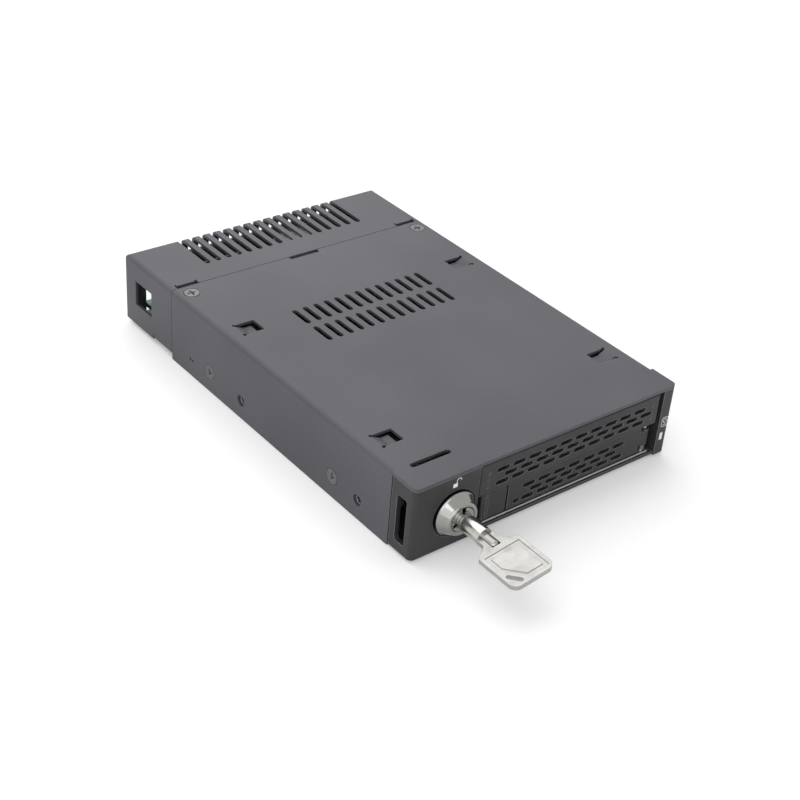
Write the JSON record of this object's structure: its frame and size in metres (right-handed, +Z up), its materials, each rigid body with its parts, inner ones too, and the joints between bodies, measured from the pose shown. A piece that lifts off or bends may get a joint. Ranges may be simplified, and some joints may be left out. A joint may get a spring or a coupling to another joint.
{
  "type": "hot swap drive cage",
  "caption": "Flat folded steel drive cage for a device bay, with a sliding drive tray, slotted swing lever, release button, tubular key lock and rear connectors.",
  "frame": {"origin": "centre of the underside of the case, which lies on Z = 0", "axes": "+X to the right as seen from the front, +Y from the front to the rear, +Z up"},
  "size_m": [0.1016, 0.189, 0.0254],
  "materials": {
    "case_paint": "fine texture powder coat, dark grey",
    "bezel_plastic": "fine matt moulded, near black",
    "plated_sheet": "zinc plated sheet",
    "spring_steel": "bright drawn",
    "screen_steel": "bright rolled",
    "nut_steel": "zinc plated",
    "plated_screw": "zinc plated",
    "black_screw": "blackened steel, satin",
    "lock_chrome": "polished nickel chrome",
    "key_nickel": "satin nickel plate",
    "board_laminate": "green solder mask",
    "connector_plastic": "black moulded",
    "port_shell": "bright stamped shell",
    "standoff_brass": "turned brass",
    "can_aluminium": "drawn can",
    "chip_resin": "moulded resin",
    "clear_acrylic": "clear moulded acrylic",
    "lamp_lens": "milky lens"
  },
  "bodies": {
    "cage": {"top_cover": "case_paint", "bottom_pan": "case_paint", "rear_hood": "case_paint", "front_bezel": "bezel_plastic", "left_guide": "plated_sheet", "right_guide": "plated_sheet", "ground_springs": "spring_steel", "backplane_board": "board_laminate", "backplane_screws": "plated_screw", "drive_socket": "connector_plastic", "status_lamp": "lamp_lens", "light_pipe": "clear_acrylic", "rear_board": "board_laminate", "board_standoffs": "standoff_brass", "board_screws": "plated_screw", "board_header": "connector_plastic", "data_port": "port_shell", "power_port": "connector_plastic", "board_capacitors": "can_aluminium", "board_chip": "chip_resin", "mount_nuts": "nut_steel", "cover_screws": "black_screw", "guide_screws": "black_screw", "lock_body": "lock_chrome", "lock_nut": "nut_steel"},
    "lock": {"lock_cylinder": "lock_chrome", "lock_cam": "nut_steel", "cam_screw": "plated_screw"},
    "key": {"key_tube": "key_nickel", "key_bow": "key_nickel", "key_rivet": "key_nickel"},
    "tray": {"tray_frame": "plated_sheet", "tray_front": "bezel_plastic", "airflow_screen": "screen_steel", "tray_screws": "plated_screw", "lever_pin": "spring_steel", "lever_spring": "spring_steel", "button_spring": "spring_steel"},
    "lever": {"latch_lever": "bezel_plastic"},
    "button": {"release_button": "bezel_plastic"}
  },
  "joints": [
    {"name": "tray_slide", "type": "slide", "parent": "cage", "child": "tray", "axis": [0, -1, 0], "range_m": [0, 0.13]},
    {"name": "lever_swing", "type": "hinge", "parent": "tray", "child": "lever", "pos_m": [0.0424, -0.0748, 0.008], "axis": [0, 0, 1], "range_deg": [0, 75]},
    {"name": "button_slide", "type": "slide", "parent": "tray", "child": "button", "axis": [-1, 0, 0], "range_m": [0, 0.002], "stiffness_N_per_m": 250, "springref_m": -0.004, "deforming": ["button_spring"]},
    {"name": "lock_turn", "type": "hinge", "parent": "cage", "child": "lock", "pos_m": [-0.036, -0.0775, 0.012], "axis": [0, 1, 0], "range_deg": [0, 90]},
    {"name": "key_pull", "type": "slide", "parent": "lock", "child": "key", "axis": [0, -1, 0], "range_m": [0, 0.02]}
  ]
}
